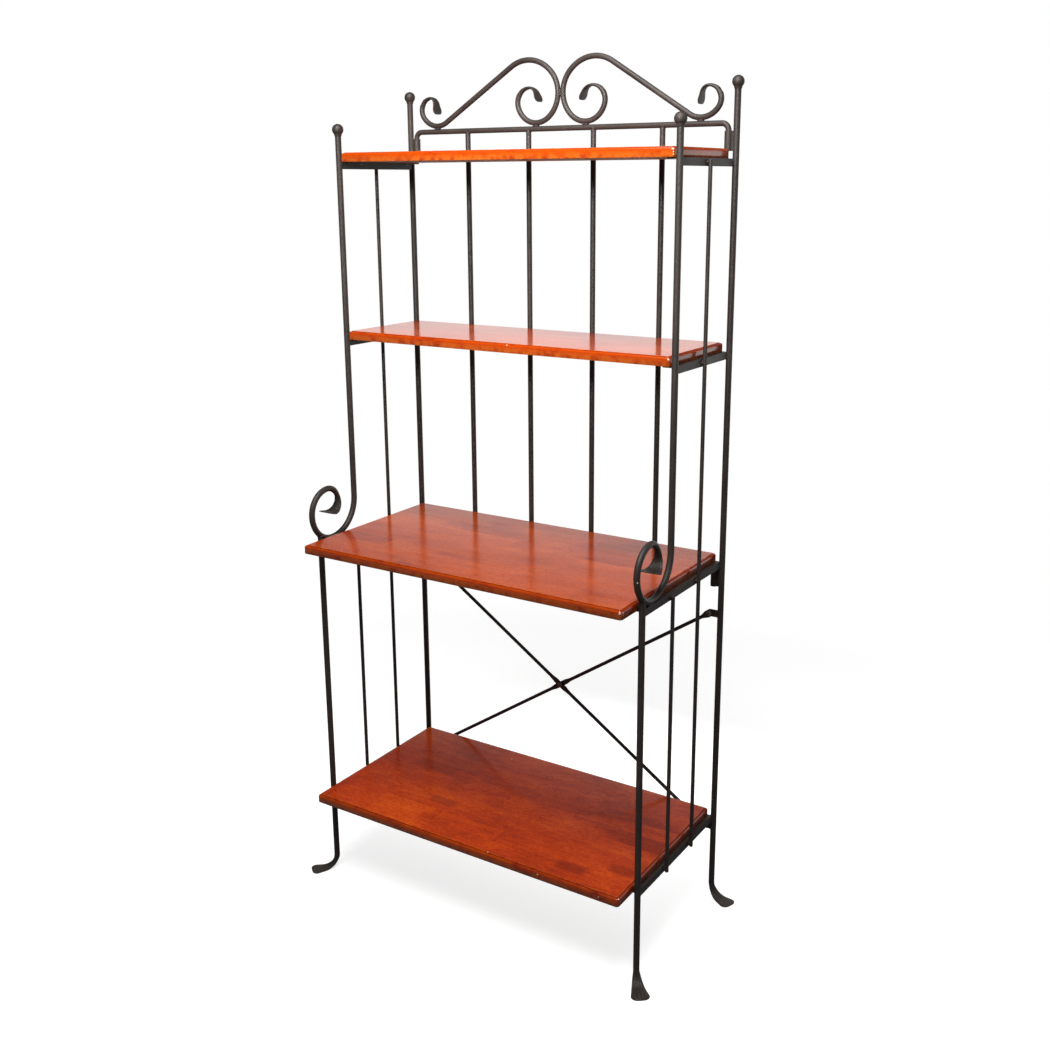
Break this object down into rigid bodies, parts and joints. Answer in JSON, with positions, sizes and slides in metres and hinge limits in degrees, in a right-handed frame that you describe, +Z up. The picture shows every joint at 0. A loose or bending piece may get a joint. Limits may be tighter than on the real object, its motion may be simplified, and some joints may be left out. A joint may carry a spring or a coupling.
{
  "type": "bakers rack",
  "caption": "Tall open bakers rack: scrolled round-bar side frames, wooden boards at stepped depths, a cross brace behind the lower bay and a lift-out back panel with a scroll crest.",
  "frame": {"origin": "on the floor, in the middle of the rack's width and depth", "axes": "+Z up, +X to the right as seen from the front, +Y towards the wall behind the rack"},
  "size_m": [0.921, 0.4416, 1.8275],
  "materials": {
    "dark_bronze_paint": "satin dark bronze enamel",
    "blackened_fasteners": "satin black oxide",
    "cherry_stained_wood": "gloss clear coat over a red-brown stain"
  },
  "bodies": {
    "rack": {"bottom_board": "cherry_stained_wood", "bottom_board_screws": "blackened_fasteners", "brace_bolts": "blackened_fasteners", "brace_nuts": "blackened_fasteners", "falling_brace_bar": "dark_bronze_paint", "left_bottom_rail": "dark_bronze_paint", "left_front_finial": "dark_bronze_paint", "left_front_leg": "dark_bronze_paint", "left_front_scroll_post": "dark_bronze_paint", "left_long_spindle": "dark_bronze_paint", "left_lower_brace_lug": "dark_bronze_paint", "left_lower_sleeve": "dark_bronze_paint", "left_middle_rail": "dark_bronze_paint", "left_rear_finial": "dark_bronze_paint", "left_rear_post": "dark_bronze_paint", "left_scroll_weld": "dark_bronze_paint", "left_short_spindle": "dark_bronze_paint", "left_top_rail": "dark_bronze_paint", "left_upper_brace_lug": "dark_bronze_paint", "left_upper_sleeve": "dark_bronze_paint", "left_work_rail": "dark_bronze_paint", "middle_board": "cherry_stained_wood", "middle_board_screws": "blackened_fasteners", "right_bottom_rail": "dark_bronze_paint", "right_front_finial": "dark_bronze_paint", "right_front_leg": "dark_bronze_paint", "right_front_scroll_post": "dark_bronze_paint", "right_long_spindle": "dark_bronze_paint", "right_lower_brace_lug": "dark_bronze_paint", "right_lower_sleeve": "dark_bronze_paint", "right_middle_rail": "dark_bronze_paint", "right_rear_finial": "dark_bronze_paint", "right_rear_post": "dark_bronze_paint", "right_scroll_weld": "dark_bronze_paint", "right_short_spindle": "dark_bronze_paint", "right_top_rail": "dark_bronze_paint", "right_upper_brace_lug": "dark_bronze_paint", "right_upper_sleeve": "dark_bronze_paint", "right_work_rail": "dark_bronze_paint", "rising_brace_bar": "dark_bronze_paint", "top_board": "cherry_stained_wood", "top_board_screws": "blackened_fasteners", "work_board": "cherry_stained_wood", "work_board_screws": "blackened_fasteners"},
    "back_panel": {"crest_welds": "dark_bronze_paint", "left_crest_scroll": "dark_bronze_paint", "panel_bar_1": "dark_bronze_paint", "panel_bar_2": "dark_bronze_paint", "panel_bar_3": "dark_bronze_paint", "panel_bar_4": "dark_bronze_paint", "panel_hoop": "dark_bronze_paint", "panel_lower_bar": "dark_bronze_paint", "right_crest_scroll": "dark_bronze_paint"}
  },
  "joints": [
    {"name": "back_panel_lift", "type": "slide", "parent": "rack", "child": "back_panel", "axis": [0, 0, 1], "range_m": [0, 0.034]}
  ]
}
